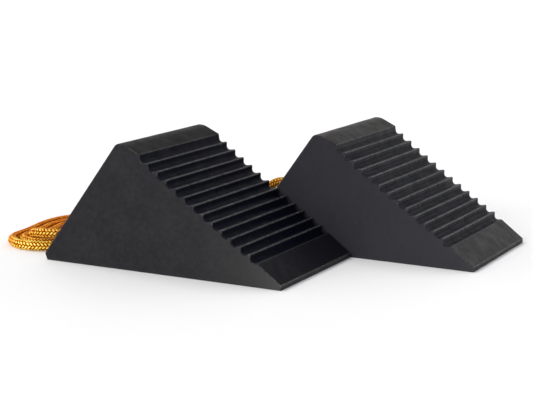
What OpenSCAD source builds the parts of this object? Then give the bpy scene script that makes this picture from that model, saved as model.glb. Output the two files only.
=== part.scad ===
// A pair of moulded rubber wheel chocks tied together by one rope.
// Each chock is a wedge with a ribbed face for the tyre and a plain sloping back.
// The rope runs through a hole in each back and is knotted in a pocket under the chock.
// Lengths are in millimetres, and the origin is on the floor under the middle of the pair.

/* [Chock] */
// Length of one chock, from the bulge of its foot to its toe
chock_len = 216; // [212:1:230]
// Width of one chock across its ribs
chock_w = 150; // [130:1:170]
// Height of the crown above the floor
chock_h = 104; // [102:1:110]
// Slope of the plain back, in degrees above the floor
back_slope = 56.4; // [55:0.2:58]
// How far the foot of the back stands out past its bottom edge
foot_bulge = 2; // [1:0.5:3]
// Height of the widest point of the foot
foot_h = 6; // [4:1:8]
// Height of the upright land at the toe
toe_h = 4.2; // [3.6:0.2:8]

/* [Crown] */
// Radius of the round between the back and the crown
nose_r = 5; // [3:0.5:5]
// Length of the flat crown between its corners, before they are rounded
crown_flat = 6.9; // [6.9:0.1:9]
// Radius that eases the flat crown into its slope
crown_r = 14; // [8:1:14]
// Length along the floor of the slope from the crown to the lip above the ribs
lip_run = 14.8; // [14.4:0.2:17]
// Drop from the crown to the lip
lip_drop = 6.8; // [6.4:0.2:8.4]

/* [Ribs] */
// Number of ribs across the tyre face
rib_count = 12; // [8:1:12]
// Distance from one rib to the next along the floor
rib_run = 8.45; // [8:0.05:8.5]
// Drop from one rib to the next
rib_drop = 5.87; // [5.5:0.01:5.9]
// How far the ribs dip below a straight line at the middle of the tyre face
face_dip = 1.1; // [0:0.1:1.5]
// Depth of a groove below the next rib's tip
groove_depth = 1.6; // [1:0.1:2]
// Radius of a rib's tip
tip_r = 1; // [0.6:0.1:1.2]
// Radius of a groove's root
root_r = 3.2; // [1:0.1:3.4]

/* [Rope] */
// Diameter of the rope
rope_d = 8.5; // [7:0.5:8.5]
// Diameter of the hole that the rope runs through
bore_d = 12; // [11:0.5:14]
// Height of the hole's mouth on the back
bore_z = 41.5; // [40:0.5:42]
// Diameter of the pocket under the chock
pocket_d = 32; // [30:1:36]
// Depth of the pocket
pocket_h = 34; // [30:1:38]
// Diameter of the knot in the pocket
knot_d = 24; // [20:1:24]

/* [Pair] */
// How far the right chock stands ahead of the left one
pair_ahead = 111; // [100:1:125]
// Gap between the two chocks
pair_gap = 2; // [1:0.5:10]

/* [Hidden] */
$fn = 96;

rubber_colour = [0.17, 0.17, 0.18];
rope_colour = [0.93, 0.45, 0.08];

// Segments of each rounded corner in the side outline
corner_segments = 5;

// Sides of the rope's tube
rope_sides = 10;

// A cutter runs this far past the face that it opens
cut_past = 5;

// Where the back would meet the crown, the end of the flat crown, and the lip
nose_x = (chock_h - foot_h) / tan(back_slope) - foot_bulge;
crown_x = nose_x + crown_flat;
lip_x = crown_x + lip_run;
lip_z = chock_h - lip_drop;

// First groove, first rib tip, and the start of the toe ramp
first_root = [lip_x + 1.4, lip_z - 7.6];
first_tip = [lip_x + 8.3, lip_z - 6.1];
last_tip = first_tip + (rib_count - 1) * [rib_run, -rib_drop];
ramp_start = last_tip + [6.8, -6.8];
toe_x = chock_len - foot_bulge;

// The hole's mouth, and where its axis is at a depth measured along it
bore_mouth = [(bore_z - foot_h) / tan(back_slope) - foot_bulge, bore_z];
bore_dir = [sin(back_slope), -cos(back_slope)];
function bore_at(depth) = bore_mouth + depth * bore_dir;

// The pocket stands under the end of the hole, and the knot is drawn up to the pocket's wall
pocket_x = 66;
knot_slack = 0.3;
knot_x = pocket_x - (pocket_d - knot_d) / 2 + knot_slack;
knot_depth = (knot_x - bore_mouth[0]) / bore_dir[0];
neck_depth = 24.5;

// Place of the right chock beside the left one, and of the pair about the origin
right_place = [pair_ahead, chock_w + pair_gap, 0];
pair_centre = [(pair_ahead + chock_len) / 2 - foot_bulge, chock_w + pair_gap / 2, 0];

// Control points of the rope's route, from the hole of the left chock to the hole of the right one.
// They are measured from the near bottom back corner of the left chock.
ROUTE = [
    [42, 75, 28], [22, 75, 41.3], [15, 75, 46], [7.5, 76, 48.5], [-0.3, 78.5, 48],
    [-6.8, 82.2, 44.2], [-11, 85.4, 38.2], [-13.1, 86.3, 31], [-13.8, 84.5, 24], [-13.3, 80.6, 18.2],
    [-12.1, 74.9, 14.2], [-10.2, 68.4, 12.6], [-6.8, 61.3, 13.1], [-7.2, 50.8, 13.6], [-12.3, 42.7, 13.8],
    [-19.5, 38.4, 13.9], [-27.5, 37.5, 13.4], [-35.9, 40.1, 12.9], [-43.2, 46.9, 9.8], [-45.6, 56, 5.8],
    [-45, 68, 4.3], [-45.5, 83, 4.3], [-48.2, 97.9, 4.3], [-52.3, 111.5, 4.3], [-48.9, 122, 4.3],
    [-41.6, 128.4, 4.3], [-32.6, 130.5, 4.3], [-23.8, 128.1, 4.3], [-16.8, 121.5, 4.3], [-13.8, 111.1, 4.3],
    [-17.3, 95.2, 4.3], [-17.4, 75, 4.3], [-16.2, 56, 4.3], [-19.4, 45.6, 4.3], [-26.8, 38.9, 4.3],
    [-36, 36.8, 4.3], [-44.9, 39.3, 4.3], [-51.8, 45.9, 4.3], [-54.7, 55.9, 4.3], [-53.7, 70, 4.3],
    [-54.8, 85, 4.3], [-60, 100.8, 4.3], [-59.5, 116, 4.3], [-59.5, 132, 4.3], [-54, 147, 4.3],
    [-41, 157, 4.3], [-24, 157, 4.3], [-11, 147, 4.3], [-6.3, 131, 4.3], [-6.3, 107, 4.3],
    [-6.3, 82, 4.3], [-6.5, 60, 4.3], [-9, 45, 4.3], [-15.5, 33, 4.3], [-25, 26, 4.3],
    [-36, 23.5, 4.3], [-47, 26.5, 4.3], [-56, 34.5, 4.3], [-61.5, 45.5, 4.3], [-63, 57, 4.3],
    [-63, 70, 4.3], [-65, 84, 4.3], [-68, 100, 4.3], [-69.5, 117, 4.3], [-69, 133, 4.3],
    [-65, 149, 4.3], [-56, 163, 4.3], [-39, 174, 4.3], [-11, 181, 4.3], [20, 188.5, 4.3],
    [48, 199.5, 4.3], [70, 211, 4.8], [81.5, 217.5, 10], [89, 221.5, 18.5], [94, 224, 27.5],
    [98.6, 225.5, 36.3], [105, 226.5, 43.6], [113.5, 227, 47.2], [123, 227, 46.4], [133, 227, 41.3],
    [153, 227, 28]
];

// The places of the two holes' middles for which the route is laid
route_hole_y = 75;
route_ahead = 111;
route_across = 152;

// The stretch behind the chocks takes up any change in where the right chock stands
stretch_from = 61;
stretch_to = 71;
function share(i) = min(1, max(0, (i - stretch_from) / (stretch_to - stretch_from)));
right_change = [pair_ahead - route_ahead, chock_w + pair_gap - route_across, 0];
route = [for (i = [0 : len(ROUTE) - 1])
    ROUTE[i] + [0, chock_w / 2 - route_hole_y, 0] + share(i) * right_change];

// Smooth curve (a uniform cubic B-spline) that starts and ends at its first and last control points
function control(p, i) =
    i < 0 ? 2 * p[0] - p[1] :
    i >= len(p) ? 2 * p[len(p) - 1] - p[len(p) - 2] :
    p[i];
function curve_point(p, i) = (control(p, i - 1) + 4 * control(p, i) + control(p, i + 1)) / 6;
function curve_dir(p, i) = unit(control(p, i + 1) - control(p, i - 1));
function unit(v) = v / norm(v);

// Side vectors of the rings, carried along the curve without twist
function square_to(v, dir) = unit(v - (v * dir) * dir);
function carried_sides(dirs) = [
    for (i = 0, side = square_to([0, 1, 0], dirs[0]);
         i < len(dirs);
         i = i + 1, side = i < len(dirs) ? square_to(side, dirs[i]) : side)
    side
];

// Closed tube of a round section along control points
module tube(points, d, sides) {
    last = len(points) - 1;
    dirs = [for (i = [0 : last]) curve_dir(points, i)];
    side = carried_sides(dirs);
    vertices = [
        for (i = [0 : last], k = [0 : sides - 1])
        let (a = 360 * k / sides, up = cross(dirs[i], side[i]))
        curve_point(points, i) + d / 2 * (cos(a) * side[i] + sin(a) * up)
    ];
    walls = [
        for (i = [0 : last - 1], k = [0 : sides - 1])
        let (a = i * sides + k, b = i * sides + (k + 1) % sides)
        each [[a, a + sides, b + sides], [a, b + sides, b]]
    ];
    first_end = [for (k = [0 : sides - 1]) k];
    last_end = [for (k = [sides - 1 : -1 : 0]) last * sides + k];
    polyhedron(vertices, concat([first_end, last_end], walls));
}

// An outline's corners as [x, z, radius], each turned into an arc that meets both sides
function rounded(corners) = [
    for (i = [0 : len(corners) - 1])
    let (
        n = len(corners),
        c = corners[i],
        before = corners[(i + n - 1) % n],
        after = corners[(i + 1) % n]
    )
    each corner_arc([before[0], before[1]], [c[0], c[1]], [after[0], after[1]], c[2])
];
function corner_arc(before, at, after, r) =
    r == 0 ? [at] :
    let (
        in_dir = unit(at - before),
        out_dir = unit(after - at),
        turn = atan2(in_dir[0] * out_dir[1] - in_dir[1] * out_dir[0], in_dir * out_dir),
        tangent = r * tan(abs(turn) / 2),
        inward = sign(turn) * [-in_dir[1], in_dir[0]],
        centre = at - tangent * in_dir + r * inward
    )
    [for (k = [0 : corner_segments])
        let (a = turn * k / corner_segments, s = -r * inward)
        centre + [s[0] * cos(a) - s[1] * sin(a), s[0] * sin(a) + s[1] * cos(a)]];

// Side outline of a chock, clockwise from its bottom back edge
function foot() = [[0, 0, 0], [-foot_bulge - 0.4, foot_h - 0.6, 2]];
function crown() = [
    [nose_x, chock_h, nose_r],
    [crown_x, chock_h, crown_r],
    [lip_x, lip_z, 1.5]
];
function dip(i) = 4 * face_dip * (i / (rib_count - 1)) * (1 - i / (rib_count - 1));
function rib(i) =
    let (tip = first_tip + i * [rib_run, -rib_drop] - [0, dip(i)])
    [[tip[0], tip[1], tip_r], [tip[0], tip[1] - rib_drop - groove_depth, root_r]];
function toe() = [
    [ramp_start[0], ramp_start[1], 1.2],
    [toe_x, toe_h, 1.5],
    [toe_x, 0, 0]
];
function outline() = concat(
    foot(),
    crown(),
    [[first_root[0], first_root[1], root_r]],
    [for (i = [0 : rib_count - 1]) each rib(i)],
    toe()
);

// Turns a shape from upright to lie along the rope's hole, at a depth from the mouth
module along_bore(depth) {
    at = bore_at(depth);
    translate([at[0], chock_w / 2, at[1]])
        rotate([0, 180 - back_slope, 0])
            children();
}

module chock() {
    color(rubber_colour)
        difference() {
            translate([0, chock_w, 0])
                rotate([90, 0, 0])
                    linear_extrude(chock_w)
                        polygon(rounded(outline()));
            along_bore(-cut_past)
                cylinder(d = bore_d, h = cut_past + knot_depth);
            translate([pocket_x, chock_w / 2, -cut_past])
                cylinder(d = pocket_d, h = cut_past + pocket_h);
        }
}

// Knot that stops the rope's end in the pocket, with the rope's last stretch in the hole
module knot() {
    color(rope_colour)
        union() {
            along_bore(knot_depth)
                sphere(d = knot_d);
            along_bore(neck_depth)
                cylinder(d = rope_d, h = knot_depth - neck_depth);
        }
}

module chock_left() {
    translate(-pair_centre)
        chock();
}

module chock_right() {
    translate(right_place - pair_centre)
        chock();
}

module rope() {
    color(rope_colour)
        translate(-pair_centre)
            tube(route, rope_d, rope_sides);
}

module rope_knot_left() {
    translate(-pair_centre)
        knot();
}

module rope_knot_right() {
    translate(right_place - pair_centre)
        knot();
}

chock_left();
chock_right();
rope();
rope_knot_left();
rope_knot_right();
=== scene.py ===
"""Looks of a roped pair of moulded rubber wheel chocks.

Both chocks are lofted from one side outline, with softened edges, chipped rib tips, a rope hole and a knot
pocket, and are coloured with pale scuffs and painted highlights on their edges and painted shade on the
tyre face. The rope is a real braid of sixteen strands along its route, coloured with painted highlights and
shade. Lengths are in metres.
"""

import math
import random

import bpy
import numpy as np
from mathutils import Matrix, Vector, noise


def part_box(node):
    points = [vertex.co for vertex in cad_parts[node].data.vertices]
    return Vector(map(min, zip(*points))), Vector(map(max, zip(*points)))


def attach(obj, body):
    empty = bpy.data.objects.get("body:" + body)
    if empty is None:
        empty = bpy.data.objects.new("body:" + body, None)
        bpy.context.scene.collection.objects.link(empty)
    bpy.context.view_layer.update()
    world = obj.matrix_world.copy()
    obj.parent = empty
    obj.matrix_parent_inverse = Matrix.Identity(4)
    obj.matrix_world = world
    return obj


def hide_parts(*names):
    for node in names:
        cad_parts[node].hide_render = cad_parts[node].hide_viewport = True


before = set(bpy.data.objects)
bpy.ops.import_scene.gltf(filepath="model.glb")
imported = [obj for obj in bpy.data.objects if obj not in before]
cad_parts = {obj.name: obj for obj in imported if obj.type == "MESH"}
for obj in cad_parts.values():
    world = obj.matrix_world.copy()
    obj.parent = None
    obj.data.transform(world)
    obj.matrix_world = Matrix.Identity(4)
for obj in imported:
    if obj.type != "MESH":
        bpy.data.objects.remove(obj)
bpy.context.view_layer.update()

MM = 0.001
BODY = "root"

# ---------------------------------------------------------------- the pair's layout

LEFT_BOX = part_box("chock_left")
RIGHT_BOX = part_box("chock_right")
CHOCK_W = LEFT_BOX[1].y - LEFT_BOX[0].y
CHOCK_H = LEFT_BOX[1].z
FOOT_BULGE = 2 * MM
TOE_X = 214 * MM
LEFT_CORNER = Vector((LEFT_BOX[1].x - TOE_X, LEFT_BOX[0].y, 0))
RIGHT_CORNER = Vector((RIGHT_BOX[1].x - TOE_X, RIGHT_BOX[0].y, 0))

# ---------------------------------------------------------------- camera

LOOK_AT = Vector((0.0122, -0.0935, 0.0563))
CAMERA_DISTANCE = 1.45
CAMERA_AZIMUTH = math.radians(23.69)
CAMERA_ELEVATION = math.radians(10.28)
CAMERA_ROLL = math.radians(2.04)
CAMERA_LENS = 119.0
SENSOR_W = 36
CLIP_NEAR, CLIP_FAR = 0.05, 20


def make_camera():
    data = bpy.data.cameras.new("camera")
    camera = bpy.data.objects.new("camera", data)
    bpy.context.scene.collection.objects.link(camera)
    data.lens = CAMERA_LENS
    data.sensor_width = SENSOR_W
    data.clip_start, data.clip_end = CLIP_NEAR, CLIP_FAR
    across = math.cos(CAMERA_ELEVATION)
    back = Vector(
        (
            math.sin(CAMERA_AZIMUTH) * across,
            -math.cos(CAMERA_AZIMUTH) * across,
            math.sin(CAMERA_ELEVATION),
        )
    )
    turn = (-back).to_track_quat("-Z", "Y").to_matrix() @ Matrix.Rotation(CAMERA_ROLL, 3, "Z")
    camera.matrix_world = Matrix.Translation(LOOK_AT + CAMERA_DISTANCE * back) @ turn.to_4x4()
    bpy.context.scene.camera = camera


make_camera()

# ---------------------------------------------------------------- small tools


def new_piece(name, vertices, faces, material):
    mesh = bpy.data.meshes.new(name)
    mesh.from_pydata([tuple(v) for v in vertices], [], faces)
    mesh.materials.append(material)
    piece = bpy.data.objects.new(name, mesh)
    bpy.context.scene.collection.objects.link(piece)
    return piece


def set_values(mesh, name, domain, values):
    attribute = mesh.attributes.new(name, "FLOAT", domain)
    attribute.data.foreach_set("value", np.asarray(values, np.float32))


def smooth_by_angle(mesh, degrees):
    mesh.polygons.foreach_set("use_smooth", [True] * len(mesh.polygons))
    mesh.set_sharp_from_angle(angle=math.radians(degrees))
    mesh.update()


# ---------------------------------------------------------------- material tools


class Nodes:
    """A material's node tree, with short calls for the nodes used here."""

    def __init__(self, name):
        self.material = bpy.data.materials.new(name)
        self.material.use_nodes = True
        self.tree = self.material.node_tree
        self.shader = self.tree.nodes["Principled BSDF"]

    def add(self, kind, inputs=None, **settings):
        node = self.tree.nodes.new(kind)
        for key, value in settings.items():
            setattr(node, key, value)
        for key, value in (inputs or {}).items():
            self.put(node.inputs[key], value)
        return node

    def put(self, socket, value):
        if isinstance(value, bpy.types.NodeSocket):
            self.tree.links.new(value, socket)
        else:
            socket.default_value = value

    def place(self):
        return self.add("ShaderNodeTexCoord").outputs["Object"]

    def value_of(self, name):
        return self.add("ShaderNodeAttribute", attribute_name=name).outputs["Fac"]

    def noise(self, place, scale, detail=3.0, roughness=0.5):
        inputs = {"Vector": place, "Scale": scale, "Detail": detail, "Roughness": roughness}
        return self.add("ShaderNodeTexNoise", inputs).outputs["Fac"]

    def stretched(self, place, scale):
        return self.add("ShaderNodeMapping", {"Vector": place, "Scale": scale}).outputs["Vector"]

    def spread(self, value, low, high, to_low=0.0, to_high=1.0):
        inputs = {
            "Value": value,
            "From Min": low,
            "From Max": high,
            "To Min": to_low,
            "To Max": to_high,
        }
        return self.add("ShaderNodeMapRange", inputs).outputs["Result"]

    def math(self, operation, a, b=0.0):
        node = self.add("ShaderNodeMath", operation=operation)
        self.put(node.inputs[0], a)
        self.put(node.inputs[1], b)
        return node.outputs[0]

    def ramp(self, value, stops):
        node = self.add("ShaderNodeValToRGB", {"Fac": value})
        ramp = node.color_ramp
        while len(ramp.elements) < len(stops):
            ramp.elements.new(1.0)
        for element, (at, colour) in zip(ramp.elements, stops):
            element.position = at
            element.color = (*colour, 1)
        return node.outputs["Color"]

    def mix(self, share, a, b):
        node = self.add("ShaderNodeMix", data_type="RGBA")
        self.put(node.inputs["Factor"], share)
        self.put(node.inputs[6], a if isinstance(a, bpy.types.NodeSocket) else (*a, 1))
        self.put(node.inputs[7], b if isinstance(b, bpy.types.NodeSocket) else (*b, 1))
        return node.outputs[2]

    def bump(self, height, strength, distance, under=None):
        inputs = {"Height": height, "Strength": strength, "Distance": distance}
        if under is not None:
            inputs["Normal"] = under
        return self.add("ShaderNodeBump", inputs).outputs["Normal"]

    def finish(self, **sockets):
        for name, value in sockets.items():
            self.put(self.shader.inputs[name.replace("_", " ")], value)
        return self.material


# ---------------------------------------------------------------- materials

RUBBER_DARK = (0.0066, 0.0066, 0.0086)
RUBBER_LIGHT = (0.0150, 0.0148, 0.0170)
RUBBER_PALE = (0.0200, 0.0192, 0.0250)
# A dusty colour that also paints light on the crown, the ramp and the toe's land
RUBBER_DUST_AND_LIGHT = (0.0205, 0.0168, 0.0112)
RUBBER_TOE = (0.0450, 0.0445, 0.0425)
# Painted shade on the tyre face: near-black, with the blue tint of shadow
RUBBER_PAINTED_SHADE = (0.0020, 0.0024, 0.0085)
# Pale scuffs, also used as painted highlights on the edges and the ribs' tips
RUBBER_WORN_AND_LIT = (0.125, 0.122, 0.118)
# How far the painted shade on the tyre face, the pale scuffs with painted highlights and the pale specks
# hide the colour under them
PAINTED_SHADE_COVER, WEAR_AND_HIGHLIGHT_COVER, SPECK_COVER = 0.92, 0.8, 0.5
# The higher the power, the closer to the toe the sides' lightening stays
TOE_LIGHTENING_POWER = 6.0
# How shiny the rubber is, and how much of that the painted shade on the tyre face takes away
SHINE, PAINTED_SHADE_DULLS = 0.16, 0.125


def rubber():
    """Moulded rubber: painted shade on the tyre face, a dusty colour with painted light on the crown and
    the toe's land, and pale scuffs with painted highlights on its edges.

    The face values, in the order of LOOKS, say how much of each look a face has: painted shade, a dusty
    colour with painted light, paler sides, lightening towards the toe, and flat sides; the point value
    "along" runs from 0 at the back to 1 at the toe.
    """
    n = Nodes("chock_rubber")
    place = n.place()
    blotches = n.noise(place, scale=45, detail=4, roughness=0.6)
    patches = n.noise(place, scale=260, detail=3, roughness=0.55)
    tone = n.math("ADD", n.math("MULTIPLY", blotches, 0.5), n.math("MULTIPLY", patches, 0.5))
    colour = n.ramp(tone, [(0.36, RUBBER_DARK), (0.64, RUBBER_LIGHT)])
    patchy = n.spread(tone, low=0.35, high=0.65, to_low=0.75, to_high=1.0)
    colour = n.mix(n.math("MULTIPLY", n.value_of("pale"), patchy), colour, RUBBER_PALE)
    # The sides grow lighter towards the toe
    toeward = n.math("POWER", n.value_of("along"), TOE_LIGHTENING_POWER)
    colour = n.mix(n.math("MULTIPLY", n.value_of("toe_dust"), toeward), colour, RUBBER_TOE)
    tread = n.value_of("tread")
    # Painted shade on the tyre face: a painted shadow, darkest on the risers and in the grooves' roots
    colour = n.mix(n.math("MULTIPLY", tread, PAINTED_SHADE_COVER), colour, RUBBER_PAINTED_SHADE)
    # Dusty colour with painted light on the crown, the ramp and the toe's land
    colour = n.mix(n.math("MULTIPLY", n.value_of("dust"), patchy), colour, RUBBER_DUST_AND_LIGHT)
    # Pale scuffs on the edges, with painted highlights along them and on the ribs' tips
    scuffs = n.spread(n.noise(place, scale=420, detail=5, roughness=0.65), low=0.35, high=0.66)
    edges = n.math("MULTIPLY", n.value_of("wear_and_highlight"), n.math("SUBTRACT", 1.0, n.value_of("flat")))
    worn_and_lit = n.math("MULTIPLY", edges, scuffs)
    colour = n.mix(n.math("MULTIPLY", worn_and_lit, WEAR_AND_HIGHLIGHT_COVER), colour, RUBBER_WORN_AND_LIT)
    specks = n.spread(n.noise(place, scale=700, detail=1, roughness=0.4), low=0.735, high=0.80)
    specks = n.math("MULTIPLY", n.math("MULTIPLY", specks, tread), SPECK_COVER)
    colour = n.mix(specks, colour, RUBBER_WORN_AND_LIT)
    uneven = n.noise(place, scale=90, detail=3, roughness=0.6)
    roughness = n.spread(uneven, low=0.3, high=0.7, to_low=0.50, to_high=0.66)
    shine = n.math("SUBTRACT", SHINE, n.math("MULTIPLY", tread, PAINTED_SHADE_DULLS))
    fine = n.noise(place, scale=2600, detail=2, roughness=0.6)
    coarse = n.noise(place, scale=420, detail=3, roughness=0.6)
    grain = n.bump(fine, strength=0.15, distance=0.15 * MM)
    pits = n.bump(coarse, strength=0.14, distance=0.3 * MM, under=grain)
    dents = n.bump(blotches, strength=0.25, distance=0.8 * MM, under=pits)
    return n.finish(Base_Color=colour, Roughness=roughness, Normal=dents, Specular_IOR_Level=shine)


# Rope colours by how high a point lies in the braid: painted shade where a strand dives under, a painted
# highlight on its crown; this set is for rope in painted shade
ROPE_IN_PAINTED_SHADE = [
    (0.0, (0.012, 0.0006, 0.0001)),
    (0.52, (0.060, 0.0035, 0.0003)),
    (0.70, (0.37, 0.045, 0.0006)),
    (0.87, (0.70, 0.16, 0.0010)),
    (1.0, (0.86, 0.42, 0.015)),
]
# Rope colours where painted light falls on it, lighter and yellower
ROPE_IN_PAINTED_LIGHT = [
    (0.0, (0.018, 0.0010, 0.0002)),
    (0.54, (0.080, 0.0045, 0.0004)),
    (0.72, (0.50, 0.085, 0.0012)),
    (0.87, (0.94, 0.48, 0.004)),
    (1.0, (1.0, 0.97, 0.26)),
]
# Painted shade between the threads of each strand
ROPE_SHADE_BETWEEN_THREADS = (0.30, 0.035, 0.001)


def braid():
    """Orange braided rope: a painted highlight on each strand's crown and painted deep red shade where it
    dives under.

    Where the rope's point value of painted light is 1, painted light turns it yellow.
    """
    n = Nodes("rope_braid")
    crown = n.value_of("crown")
    mottle = n.noise(n.place(), scale=320, detail=3, roughness=0.6)
    uneven = n.spread(mottle, low=0.3, high=0.7, to_low=-0.14, to_high=0.14)
    height = n.math("ADD", crown, uneven)
    # Painted light: the rope's lit colours where its point value says so, its shaded colours elsewhere
    colour = n.mix(n.value_of("painted_light"), n.ramp(height, ROPE_IN_PAINTED_SHADE), n.ramp(height, ROPE_IN_PAINTED_LIGHT))
    strand_uv = n.add("ShaderNodeUVMap", uv_map="strand").outputs["UV"]
    threads = n.noise(n.stretched(strand_uv, (6.0, 0.35, 1.0)), scale=4, detail=3, roughness=0.7)
    # Painted shade where the threads part
    between = n.spread(threads, low=0.4, high=0.75, to_low=0.0, to_high=0.3)
    colour = n.mix(between, colour, ROPE_SHADE_BETWEEN_THREADS)
    fibres = n.bump(threads, strength=0.5, distance=0.12 * MM)
    return n.finish(Base_Color=colour, Roughness=0.5, Normal=fibres, Specular_IOR_Level=0.03)


RUBBER = rubber()
BRAID = braid()

# ---------------------------------------------------------------- the rope

ROPE_D = 8.5 * MM
LAY = 22 * MM
CARRIERS = 8
STEPS_PER_LAY = 28
STRAND_W = 1.98 * MM
STRAND_T = 0.72 * MM
STRAND_WAVE = 0.42 * MM
STRAND_R = ROPE_D / 2 - STRAND_WAVE - STRAND_T
# Each point of a strand's section: its place as shares of half the width and of the thickness, how much
# higher or lower in the braid it counts, which paints shade on the strand's edges and a highlight on its
# middle, and its U
STRAND_SECTION = [(1, 0, -0.3, 0.0), (0.52, 0.86, 0.1, 0.3), (-0.52, 0.86, 0.1, 0.7), (-1, 0, -0.3, 1.0)]
CORE_R = STRAND_R - STRAND_WAVE
CORE_SIDES = 10
CORE_STRIDE = 3
SPLINE_STEPS = 24
ROPE_SMOOTH = 75
# Where the rope gets painted light, from the left chock's corner: its nearest turns, but not their left
# end, and the rise to the right chock, with how much that one gets
PAINTED_LIGHT_Y = (26 * MM, 56 * MM)
PAINTED_LIGHT_X = (-64 * MM, -38 * MM)
PAINTED_LIGHT_RISE_Y = (195 * MM, 208 * MM)
PAINTED_LIGHT_RISE = 0.45

# Control points of the rope's route in millimetres, from the left chock's near bottom back corner
ROUTE = [
    (42, 75, 28), (22, 75, 41.3), (15, 75, 46), (7.5, 76, 48.5), (-0.3, 78.5, 48),
    (-6.8, 82.2, 44.2), (-11, 85.4, 38.2), (-13.1, 86.3, 31), (-13.8, 84.5, 24), (-13.3, 80.6, 18.2),
    (-12.1, 74.9, 14.2), (-10.2, 68.4, 12.6), (-6.8, 61.3, 13.1), (-7.2, 50.8, 13.6), (-12.3, 42.7, 13.8),
    (-19.5, 38.4, 13.9), (-27.5, 37.5, 13.4), (-35.9, 40.1, 12.9), (-43.2, 46.9, 9.8), (-45.6, 56, 5.8),
    (-45, 68, 4.3), (-45.5, 83, 4.3), (-48.2, 97.9, 4.3), (-52.3, 111.5, 4.3), (-48.9, 122, 4.3),
    (-41.6, 128.4, 4.3), (-32.6, 130.5, 4.3), (-23.8, 128.1, 4.3), (-16.8, 121.5, 4.3), (-13.8, 111.1, 4.3),
    (-17.3, 95.2, 4.3), (-17.4, 75, 4.3), (-16.2, 56, 4.3), (-19.4, 45.6, 4.3), (-26.8, 38.9, 4.3),
    (-36, 36.8, 4.3), (-44.9, 39.3, 4.3), (-51.8, 45.9, 4.3), (-54.7, 55.9, 4.3), (-53.7, 70, 4.3),
    (-54.8, 85, 4.3), (-60, 100.8, 4.3), (-59.5, 116, 4.3), (-59.5, 132, 4.3), (-54, 147, 4.3),
    (-41, 157, 4.3), (-24, 157, 4.3), (-11, 147, 4.3), (-6.3, 131, 4.3), (-6.3, 107, 4.3),
    (-6.3, 82, 4.3), (-6.5, 60, 4.3), (-9, 45, 4.3), (-15.5, 33, 4.3), (-25, 26, 4.3),
    (-36, 23.5, 4.3), (-47, 26.5, 4.3), (-56, 34.5, 4.3), (-61.5, 45.5, 4.3), (-63, 57, 4.3),
    (-63, 70, 4.3), (-65, 84, 4.3), (-68, 100, 4.3), (-69.5, 117, 4.3), (-69, 133, 4.3),
    (-65, 149, 4.3), (-56, 163, 4.3), (-39, 174, 4.3), (-11, 181, 4.3), (20, 188.5, 4.3),
    (48, 199.5, 4.3), (70, 211, 4.8), (81.5, 217.5, 10), (89, 221.5, 18.5), (94, 224, 27.5),
    (98.6, 225.5, 36.3), (105, 226.5, 43.6), (113.5, 227, 47.2), (123, 227, 46.4), (133, 227, 41.3),
    (153, 227, 28),
]


def spline(controls):
    """Dense points of a uniform cubic B-spline that starts and ends at its end control points."""
    c = np.vstack([2 * controls[0] - controls[1], controls, 2 * controls[-1] - controls[-2]])
    t = np.linspace(0, 1, SPLINE_STEPS, endpoint=False)[:, None]
    basis = [
        (1 - t) ** 3 / 6,
        (3 * t**3 - 6 * t**2 + 4) / 6,
        (-3 * t**3 + 3 * t**2 + 3 * t + 1) / 6,
        t**3 / 6,
    ]
    spans = [sum(b * c[i + k] for k, b in enumerate(basis)) for i in range(len(c) - 3)]
    return np.vstack([*spans, controls[-1:]])


def evenly(points, step):
    """The same line with points a step apart, and its length."""
    legs = np.linalg.norm(np.diff(points, axis=0), axis=1)
    run = np.concatenate([[0], np.cumsum(legs)])
    count = max(2, round(run[-1] / step) + 1)
    at = np.linspace(0, run[-1], count)
    return np.column_stack([np.interp(at, run, points[:, k]) for k in range(3)]), run[-1]


def carried_frames(points):
    """Tangents and two side vectors along a line, carried without twist."""
    tangents = np.gradient(points, axis=0)
    tangents /= np.linalg.norm(tangents, axis=1)[:, None]
    side = np.array([0.0, 1.0, 0.0])
    sides = []
    for t in tangents:
        side = side - (side @ t) * t
        side = side / np.linalg.norm(side)
        sides.append(side)
    sides = np.array(sides)
    return tangents, sides, np.cross(tangents, sides)


def tube_faces(rings, around, first):
    """Walls and two end caps of a closed tube whose rings are numbered from first."""
    faces = []
    for i in range(rings - 1):
        for k in range(around):
            a, b = first + i * around + k, first + i * around + (k + 1) % around
            faces.append((a, b, b + around, a + around))
    faces.append(tuple(range(first + around - 1, first - 1, -1)))
    last = first + (rings - 1) * around
    faces.append(tuple(range(last, last + around)))
    return faces


def eased(values, limits):
    """A smooth step from 0 at the first limit to 1 at the second."""
    share = np.clip((values - limits[0]) / (limits[1] - limits[0]), 0, 1)
    return share**2 * (3 - 2 * share)


def painted_light(points):
    """How much painted light the rope gets: most in its nearest turns, and where it rises to the right
    chock.
    """
    x, y = points[:, 0] - LEFT_CORNER.x, points[:, 1] - LEFT_CORNER.y
    nearest = (1 - eased(y, PAINTED_LIGHT_Y)) * eased(x, PAINTED_LIGHT_X)
    return np.maximum(nearest, PAINTED_LIGHT_RISE * eased(y, PAINTED_LIGHT_RISE_Y))


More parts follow.
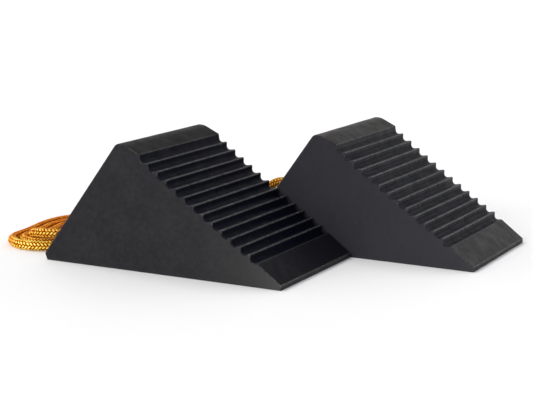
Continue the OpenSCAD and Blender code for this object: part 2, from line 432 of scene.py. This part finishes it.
def strand(points, run, axes, hand, carrier):
    """One strand's vertices, how high each is in the braid (0 to 1), and their UVs."""
    tangents, sides, ups = axes
    slant = math.atan2(2 * math.pi * STRAND_R, LAY)
    phase = math.pi * carrier - hand * math.pi / 4
    wave = hand * np.cos(math.pi * CARRIERS * run / LAY + phase)
    turn = 2 * math.pi * (carrier / CARRIERS + hand * run / LAY)
    rails, heights = [], []
    for across_share, out_share, lift, _ in STRAND_SECTION:
        across = across_share * STRAND_W / 2
        radius = STRAND_R + wave * STRAND_WAVE + out_share * STRAND_T
        angle = (turn + math.cos(slant) * across / radius)[:, None]
        shift = -hand * math.sin(slant) * across
        outward = np.cos(angle) * sides + np.sin(angle) * ups
        rails.append(points + shift * tangents + radius[:, None] * outward)
        heights.append(np.clip(0.5 + 0.5 * wave + lift, 0, 1))
    u = np.tile([corner[-1] for corner in STRAND_SECTION], len(points)) + 2 * carrier
    v = np.repeat(run / STRAND_W, len(STRAND_SECTION))
    vertices = np.stack(rails, axis=1).reshape(-1, 3)
    return vertices, np.stack(heights, axis=1).ravel(), np.column_stack([u, v])


def core_rings(points, sides, ups):
    """Rings of the plain tube inside the braid."""
    turn = (2 * math.pi * np.arange(CORE_SIDES) / CORE_SIDES)[None, :, None]
    rings = points[:, None] + CORE_R * (np.cos(turn) * sides[:, None] + np.sin(turn) * ups[:, None])
    return rings[::CORE_STRIDE]


def braided(name, line):
    """A rope along a line: strands that cross over two and under two others, round a core."""
    points, length = evenly(line, LAY / STEPS_PER_LAY)
    axes = carried_frames(points)
    run = np.linspace(0, length, len(points))
    around = len(STRAND_SECTION)
    vertices, faces, crowns, uvs = [], [], [], []
    for hand in (1, -1):
        for carrier in range(CARRIERS):
            faces += tube_faces(len(points), around, len(vertices) * len(points) * around)
            strand_vertices, strand_crowns, strand_uvs = strand(points, run, axes, hand, carrier)
            vertices.append(strand_vertices)
            crowns.append(strand_crowns)
            uvs.append(strand_uvs)
    core = core_rings(points, *axes[1:])
    faces += tube_faces(len(core), CORE_SIDES, len(vertices) * len(points) * around)
    core_count = len(core) * CORE_SIDES
    vertices = np.vstack([*vertices, core.reshape(-1, 3)])
    crowns = np.concatenate([*crowns, np.zeros(core_count)])
    uvs = np.vstack([*uvs, np.zeros((core_count, 2))])
    piece = new_piece(name, vertices, faces, BRAID)
    set_values(piece.data, "crown", "POINT", crowns)
    set_values(piece.data, "painted_light", "POINT", painted_light(vertices))
    layer = piece.data.uv_layers.new(name="strand")
    corners = np.zeros(len(piece.data.loops), np.int32)
    piece.data.loops.foreach_get("vertex_index", corners)
    layer.data.foreach_set("uv", uvs[corners].astype(np.float32).ravel())
    smooth_by_angle(piece.data, ROPE_SMOOTH)
    return piece, points, length


BORE_Z = 41.5 * MM
BACK_SLOPE = math.radians(56.4)
FOOT_H = 6 * MM
BORE_MOUTH = Vector(((BORE_Z - FOOT_H) / math.tan(BACK_SLOPE) - FOOT_BULGE, CHOCK_W / 2, BORE_Z))
BORE_DIR = Vector((math.sin(BACK_SLOPE), 0, -math.cos(BACK_SLOPE)))
ROPE_END = Vector((42, 75, 28)) * MM
KNOT_PLACE = Vector((63.5, 75, 16.5)) * MM
KNOT_NECK = (5 * MM, 10 * MM)
KNOT_LOOP = 2.85 * MM
KNOT_LAYER = 4.3 * MM
KNOT_WEAVE = 0.9
KNOT_POINTS = 36
KNOT_TAIL = 4 * MM
# Where on a closed trefoil, in half turns, the knot starts, and how much of it the knot follows
KNOT_START, KNOT_SWEEP = 1.06, 1.92


def knot_line(corner):
    """An overhand knot: a trefoil with one lobe cut, its neck in the rope's hole, and a short tail."""
    across, over = Vector((0, 1, 0)), BORE_DIR.cross(Vector((0, 1, 0)))
    line = [ROPE_END, *(ROPE_END + depth * BORE_DIR for depth in KNOT_NECK)]
    for i in range(KNOT_POINTS + 1):
        share = i / KNOT_POINTS
        t = math.pi * (KNOT_START + KNOT_SWEEP * share)
        along = math.sin(t) + 2 * math.sin(2 * t)
        aside = math.cos(t) - 2 * math.cos(2 * t)
        height = KNOT_LAYER * ((2 * share - 1) ** 3 - KNOT_WEAVE * math.sin(3 * t))
        flat = KNOT_LOOP * (along * BORE_DIR + aside * across)
        line.append(KNOT_PLACE + flat + height * over)
    line.append(line[-1] + KNOT_TAIL * BORE_DIR)
    return np.array([corner + p for p in line])


def finish_rope_piece(piece, node):
    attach(piece, BODY)
    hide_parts(node)


route = np.array(ROUTE) * MM + np.array(LEFT_CORNER)
rope, rope_line, rope_length = braided("rope_braided", spline(route))
finish_rope_piece(rope, "rope")
for side, corner in (("left", LEFT_CORNER), ("right", RIGHT_CORNER)):
    knot, _, _ = braided(f"knot_{side}_braided", spline(knot_line(corner)))
    finish_rope_piece(knot, f"rope_knot_{side}")

# ---------------------------------------------------------------- the chocks

CROWN_FLAT = 6.9 * MM
NOSE_R, CROWN_R, LIP_R = 5 * MM, 14 * MM, 1.5 * MM
LIP_RUN, LIP_DROP = 14.8 * MM, 6.8 * MM
# How far out and down the foot's corner is from the foot's widest point
FOOT_CORNER, FOOT_R = (0.4 * MM, 0.6 * MM), 2 * MM
# How far ahead of the lip and below it the first groove's root and the first rib's tip are
FIRST_ROOT, FIRST_TIP = (1.4 * MM, 7.6 * MM), (8.3 * MM, 6.1 * MM)
RIB_COUNT = 12
RIB_RUN, RIB_DROP = 8.45 * MM, 5.87 * MM
FACE_DIP = 1.1 * MM
GROOVE_DEPTH = 1.6 * MM
RAMP_RUN, RAMP_DROP, RAMP_R = 6.8 * MM, 6.8 * MM, 1.2 * MM
TOE_H, TOE_R = 4.2 * MM, 1.5 * MM
TIP_R, ROOT_R = 1.0 * MM, 3.2 * MM
# Which corners of side_corners() are the start of the crown, the lip and the first rib's tip
NOSE_CORNER, LIP_CORNER, TIP_CORNER = 2, 4, 6
# Rounding of the side edges, and how finely the loft is divided
EDGE_R = 0.8 * MM
EDGE_STEPS = 4
ARC_STEPS = 6
ARC_POINTS = ARC_STEPS + 1
STATION_GAP = 1.5 * MM
# The rope's hole and the knot's pocket, with the rounding of their rims, and their cutters
BORE_R, BORE_EASE, BORE_LEN = 6 * MM, 1.2 * MM, 49 * MM
POCKET_R, POCKET_EASE, POCKET_H = 16 * MM, 1 * MM, 34 * MM
POCKET_CHAMFER = 2 * MM
POCKET_X = 66 * MM
LATHE_SIDES = 64
RIM_STEPS = 5
CUT_PAST = 5 * MM
CHOCK_SMOOTH = 38
# A face whose normal is at least this far along the width is one of the two flat sides
SIDE_FACING = 0.999
# A point lower than this stands on the floor
ON_FLOOR = 1e-6
# Unevenness of the moulding, everywhere and along the ribs' tips: how far out it goes, and how fast it
# changes across the width and from point to point or rib to rib
RIPPLE, RIPPLE_SCALE = 0.12 * MM, (40, 0.37)
TIP_RIPPLE, TIP_RIPPLE_SCALE = 0.14 * MM, (110, 3.1)
# Chips in a rib's tip: how many, where as a share of the width, and how long and deep in millimetres
CHIPS_PER_RIB = (1, 3)
CHIP_PLACES = (0.03, 0.97)
CHIP_LENGTHS, CHIP_DEPTHS = (1.5, 4.5), (0.15, 0.5)
# How scuffed a chock's side edges are, at the ribs' tips and elsewhere, with painted highlights along them
TIP_EDGE_WEAR_AND_HIGHLIGHT, EDGE_WEAR_AND_HIGHLIGHT = 1, 0.45
# How much more painted shade than the ribs' flanks the crown and the grooves' roots get, and the share of
# the flanks' painted shade on the ribs' tips
CROWN_MORE_PAINTED_SHADE, ROOT_MORE_PAINTED_SHADE = 0.2, 0.5
TIP_PAINTED_SHADE_SHARE = 0.35
# Painted light, in the dusty colour, on the upright land at the toe
LAND_LIGHT = 0.6
# The face values that rubber() reads, in the order of wall_looks()
LOOKS = ("tread", "dust", "pale", "toe_dust", "flat")


def corner_arc(before, at, after, radius):
    """An arc that rounds one corner of an outline."""
    into, out = (at - before).normalized(), (after - at).normalized()
    turn = math.atan2(into.x * out.y - into.y * out.x, into.dot(out))
    tangent = radius * math.tan(abs(turn) / 2)
    inward = math.copysign(1, turn) * Vector((-into.y, into.x))
    centre = at - tangent * into + radius * inward
    spoke = -radius * inward
    steps = [turn * k / ARC_STEPS for k in range(ARC_POINTS)]
    return [centre + Matrix.Rotation(a, 2) @ spoke for a in steps]


def side_corners():
    """Corners of a chock's side outline as (x, z, radius, scuffing with painted highlight), clockwise from
    the bottom.
    """
    nose_x = (CHOCK_H - FOOT_H) / math.tan(BACK_SLOPE) - FOOT_BULGE
    lip_x, lip_z = nose_x + CROWN_FLAT + LIP_RUN, CHOCK_H - LIP_DROP
    corners = [
        (0, 0, EDGE_R, 0.3),
        (-FOOT_BULGE - FOOT_CORNER[0], FOOT_H - FOOT_CORNER[1], FOOT_R, 0.3),
        (nose_x, CHOCK_H, NOSE_R, 0.35),
        (nose_x + CROWN_FLAT, CHOCK_H, CROWN_R, 0.2),
        (lip_x, lip_z, LIP_R, 0.7),
        (lip_x + FIRST_ROOT[0], lip_z - FIRST_ROOT[1], ROOT_R, 0),
    ]
    for i in range(RIB_COUNT):
        along = i / (RIB_COUNT - 1)
        x = lip_x + FIRST_TIP[0] + i * RIB_RUN
        z = lip_z - FIRST_TIP[1] - i * RIB_DROP - 4 * FACE_DIP * along * (1 - along)
        corners.append((x, z, TIP_R, 1))
        corners.append((x, z - RIB_DROP - GROOVE_DEPTH, ROOT_R, 0))
    corners += [
        (x + RAMP_RUN, z - RAMP_DROP, RAMP_R, 0.4),
        (TOE_X, TOE_H, TOE_R, 1),
        (TOE_X, 0, EDGE_R, 0.3),
    ]
    return corners


def side_outline():
    """The outline's points and the scuffing with painted highlight at each."""
    corners = side_corners()
    points, wear_and_highlight = [], []
    for i, (x, z, radius, worn_and_lit) in enumerate(corners):
        before, after = corners[i - 1], corners[(i + 1) % len(corners)]
        arc = corner_arc(Vector(before[:2]), Vector((x, z)), Vector(after[:2]), radius)
        points += arc
        wear_and_highlight += [worn_and_lit] * len(arc)
    return points, wear_and_highlight


def outward_normals(points):
    """Unit normals of a clockwise outline."""
    normals = []
    for i, p in enumerate(points):
        along = points[(i + 1) % len(points)] - points[i - 1]
        normals.append(Vector((-along.y, along.x)).normalized())
    return normals


def stations():
    """(distance across the width, inset, is at a side) of each ring of the loft."""
    rounds = [math.pi / 2 * k / EDGE_STEPS for k in range(EDGE_STEPS + 1)]
    near = [(EDGE_R * (1 - math.cos(a)), EDGE_R * (1 - math.sin(a)), 1) for a in rounds]
    count = round((CHOCK_W - 2 * EDGE_R) / STATION_GAP)
    gap = (CHOCK_W - 2 * EDGE_R) / count
    middle = [(EDGE_R + gap * k, 0, 0) for k in range(1, count)]
    far = [(CHOCK_W - y, inset, 1) for y, inset, _ in reversed(near)]
    return near + middle + far


def nicks(seed):
    """Small chips in the rib tips as (rib, place across, length, depth)."""
    draw = random.Random(seed)
    made = []
    for rib in range(RIB_COUNT):
        for _ in range(draw.randint(*CHIPS_PER_RIB)):
            length = draw.uniform(*CHIP_LENGTHS) * MM
            across = draw.uniform(*CHIP_PLACES) * CHOCK_W
            made.append((rib, across, length, draw.uniform(*CHIP_DEPTHS) * MM))
    return made


def lathe(name, profile, place, along):
    """A closed turned cutter. profile is (distance along, radius) pairs."""
    turn = along.to_track_quat("Z", "Y").to_matrix()
    vertices = []
    for at, radius in profile:
        for k in range(LATHE_SIDES):
            a = 2 * math.pi * k / LATHE_SIDES
            vertices.append(place + turn @ Vector((radius * math.cos(a), radius * math.sin(a), at)))
    return new_piece(name, vertices, tube_faces(len(profile), LATHE_SIDES, 0), RUBBER)


def eased_mouth(radius, ease):
    """The start of a cutter's profile: a rounded rim of a hole whose face is at 0."""
    steps = [math.pi / 2 * k / RIM_STEPS for k in range(RIM_STEPS + 1)]
    rim = [(ease * math.sin(a), radius + ease * (1 - math.cos(math.pi / 2 - a))) for a in steps]
    return [(-CUT_PAST, radius + ease), *rim]


def cut(piece, cutter):
    modifier = piece.modifiers.new("cut", "BOOLEAN")
    modifier.operation = "DIFFERENCE"
    modifier.object = cutter
    modifier.solver = "EXACT"
    graph = bpy.context.evaluated_depsgraph_get()
    cut_mesh = bpy.data.meshes.new_from_object(piece.evaluated_get(graph))
    piece.modifiers.clear()
    piece.data = cut_mesh
    bpy.data.objects.remove(cutter)


def wall_looks(around, tread, dust, ramp_dust):
    """The looks of each wall face in a ring, in the order of LOOKS."""
    crown = NOSE_CORNER * ARC_POINTS
    first_riser = (LIP_CORNER + 1) * ARC_POINTS - 1
    first_tip = TIP_CORNER * ARC_POINTS
    ramp = (TIP_CORNER + 2 * RIB_COUNT + 1) * ARC_POINTS - 1
    looks = []
    # The first look is painted shade: more on the crown and in the grooves' roots, less on the ribs' tips
    for k in range(around):
        in_rib = (k - first_tip) % (2 * ARC_POINTS)
        flat = 1 if k % ARC_POINTS == ARC_STEPS else 0
        if crown <= k < first_riser:
            looks.append((min(1, tread + CROWN_MORE_PAINTED_SHADE), dust, 0, 0, flat))
        # The ramp trades some painted shade for the dusty colour with painted light
        elif k == ramp:
            looks.append((tread * (1 - ramp_dust), ramp_dust, 0, 0, flat))
        elif ramp < k <= ramp + ARC_POINTS:
            looks.append((0, LAND_LIGHT, 0, 0, flat))
        elif not first_riser <= k < ramp:
            looks.append((0, 0, 0, 0, flat))
        elif in_rib < ARC_STEPS:
            looks.append((TIP_PAINTED_SHADE_SHARE * tread, 0, 0, 0, flat))
        elif in_rib == ARC_STEPS:
            looks.append((tread, 0, 0, 0, flat))
        else:
            looks.append((min(1, tread + ROOT_MORE_PAINTED_SHADE), 0, 0, 0, flat))
    return looks


def face_looks(rings, around, tread, dust, ramp_dust, pale, toe_dust):
    """The looks of all the faces of a loft: its walls ring by ring, then its two sides."""
    walls = wall_looks(around, tread, dust, ramp_dust)
    edges = [(*look[:-1], 0) for look in walls]
    middle = rings - 1 - 2 * EDGE_STEPS
    return EDGE_STEPS * edges + middle * walls + EDGE_STEPS * edges + 2 * [(0, 0, pale, toe_dust, 1)]


def rib_at(i):
    """The number of the rib whose tip has point i of the outline, or None."""
    rib, part = divmod(i - TIP_CORNER * ARC_POINTS, 2 * ARC_POINTS)
    return rib if 0 <= rib < RIB_COUNT and part <= ARC_STEPS else None


def unevenness(i, y, seed, chips):
    """How far point i of the outline stands out of true at a distance across the width."""
    out = RIPPLE * noise.noise(Vector((y * RIPPLE_SCALE[0], i * RIPPLE_SCALE[1], seed)))
    rib = rib_at(i)
    if rib is None:
        return out
    place = Vector((y * TIP_RIPPLE_SCALE[0], rib * TIP_RIPPLE_SCALE[1], seed + 5))
    out += TIP_RIPPLE * noise.noise(place)
    for chip_rib, at, length, depth in chips:
        if chip_rib == rib and abs(y - at) < length:
            out -= depth * math.cos(math.pi / 2 * (y - at) / length) ** 2
    return out


def loft(outline, wear_and_highlight, rings, corner, seed):
    """A chock's vertices, ring by ring, with the scuffing and painted highlight at each and its share of
    the way to the toe.
    """
    normals = outward_normals(outline)
    chips = nicks(seed)
    vertices, worn_and_lit, along = [], [], []
    for y, inset, at_side in rings:
        for i, (p, normal) in enumerate(zip(outline, normals)):
            out = 0 if at_side else unevenness(i, y, seed, chips)
            stays = p.y < ON_FLOOR and not inset
            q = p if stays else p + normal * (out - inset)
            vertices.append(corner + Vector((q.x, y, max(q.y, 0))))
            edge_wear_and_highlight = EDGE_WEAR_AND_HIGHLIGHT if rib_at(i) is None else TIP_EDGE_WEAR_AND_HIGHLIGHT
            worn_and_lit.append(max(wear_and_highlight[i], edge_wear_and_highlight if at_side else 0))
            along.append(max(q.x, 0) / TOE_X)
    return vertices, worn_and_lit, along


def chock(name, node, corner, seed, **looks):
    """One moulding, with the hole for the rope in its back and the pocket for the knot under it."""
    outline, wear_and_highlight = side_outline()
    rings = stations()
    vertices, worn_and_lit, along = loft(outline, wear_and_highlight, rings, corner, seed)
    piece = new_piece(name, vertices, tube_faces(len(rings), len(outline), 0), RUBBER)
    set_values(piece.data, "wear_and_highlight", "POINT", worn_and_lit)
    set_values(piece.data, "along", "POINT", along)
    values = np.array(face_looks(len(rings), len(outline), **looks))
    for column, look in enumerate(LOOKS):
        set_values(piece.data, look, "FACE", values[:, column])
    bore = [*eased_mouth(BORE_R, BORE_EASE), (BORE_LEN, BORE_R)]
    cut(piece, lathe("bore_cutter", bore, corner + BORE_MOUTH, BORE_DIR))
    pocket = [
        *eased_mouth(POCKET_R, POCKET_EASE),
        (POCKET_H - POCKET_CHAMFER, POCKET_R),
        (POCKET_H, POCKET_R - POCKET_CHAMFER),
    ]
    below = corner + Vector((POCKET_X, CHOCK_W / 2, 0))
    cut(piece, lathe("pocket_cutter", pocket, below, Vector((0, 0, 1))))
    smooth_by_angle(piece.data, CHOCK_SMOOTH)
    for face in piece.data.polygons:
        face.use_smooth = abs(face.normal.y) < SIDE_FACING
    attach(piece, BODY)
    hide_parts(node)


# Painted shade: all of it on the left chock's tyre face, as a painted shadow of the right chock, less on
# the right chock's
chock(
    "chock_left_moulding",
    "chock_left",
    LEFT_CORNER,
    seed=3,
    tread=1.0,
    dust=0.55,
    ramp_dust=0.22,
    pale=0.0,
    toe_dust=1.0,
)
chock(
    "chock_right_moulding",
    "chock_right",
    RIGHT_CORNER,
    seed=8,
    tread=0.3,
    dust=0.65,
    ramp_dust=0.5,
    pale=1.0,
    toe_dust=0.25,
)

# ---------------------------------------------------------------- floor and lights

FLOOR_HALF, FLOOR_BACK = 14.0, 4.0
BACKDROP_H, BACKDROP_BEND = 4.0, 1.5
BEND_STEPS = 12
FLOOR_SMOOTH = 60
FLOOR_DARK, FLOOR_LIGHT = (0.91, 0.91, 0.91), (0.93, 0.93, 0.93)


def floor_material():
    n = Nodes("floor")
    tone = n.noise(n.place(), scale=3, detail=2, roughness=0.5)
    colour = n.ramp(tone, [(0.3, FLOOR_DARK), (0.7, FLOOR_LIGHT)])
    return n.finish(Base_Color=colour, Roughness=0.7)


def make_floor():
    """A pale floor that bends up into a backdrop behind the chocks."""
    start = FLOOR_BACK - BACKDROP_BEND
    arc = [math.pi / 2 * k / BEND_STEPS for k in range(BEND_STEPS + 1)]
    profile = [(-FLOOR_HALF, 0.0)]
    profile += [
        (start + BACKDROP_BEND * math.sin(a), BACKDROP_BEND - BACKDROP_BEND * math.cos(a)) for a in arc
    ]
    profile.append((FLOOR_BACK, BACKDROP_H))
    vertices = [(x, y, z) for y, z in profile for x in (-FLOOR_HALF, FLOOR_HALF)]
    faces = [(2 * i, 2 * i + 1, 2 * i + 3, 2 * i + 2) for i in range(len(profile) - 1)]
    floor = new_piece("floor", vertices, faces, floor_material())
    smooth_by_angle(floor.data, FLOOR_SMOOTH)


def sun(name, azimuth, elevation, strength, spread, colour=(1, 1, 1)):
    """A broad, even light. Azimuth 0 shines from the front (-Y) and 90 from the right (+X)."""
    data = bpy.data.lights.new(name, "SUN")
    data.energy = strength
    data.angle = math.radians(spread)
    data.color = colour
    light = bpy.data.objects.new(name, data)
    bpy.context.scene.collection.objects.link(light)
    turn, rise = math.radians(azimuth), math.radians(elevation)
    towards = Vector((math.sin(turn) * math.cos(rise), -math.cos(turn) * math.cos(rise), math.sin(rise)))
    light.rotation_mode = "QUATERNION"
    light.rotation_quaternion = (-towards).to_track_quat("-Z", "Y")


def make_world(colour, strength):
    world = bpy.data.worlds.new("world")
    world.use_nodes = True
    world.node_tree.nodes["Background"].inputs["Color"].default_value = (*colour, 1)
    world.node_tree.nodes["Background"].inputs["Strength"].default_value = strength
    bpy.context.scene.world = world


make_floor()
make_world(colour=(0.92, 0.94, 1.0), strength=0.5)
sun("from_left", azimuth=-90, elevation=42, strength=1.3, spread=40, colour=(1.0, 0.94, 0.86))
sun("from_front", azimuth=-14, elevation=22, strength=2.2, spread=40)
bpy.context.scene.view_settings.view_transform = "Standard"
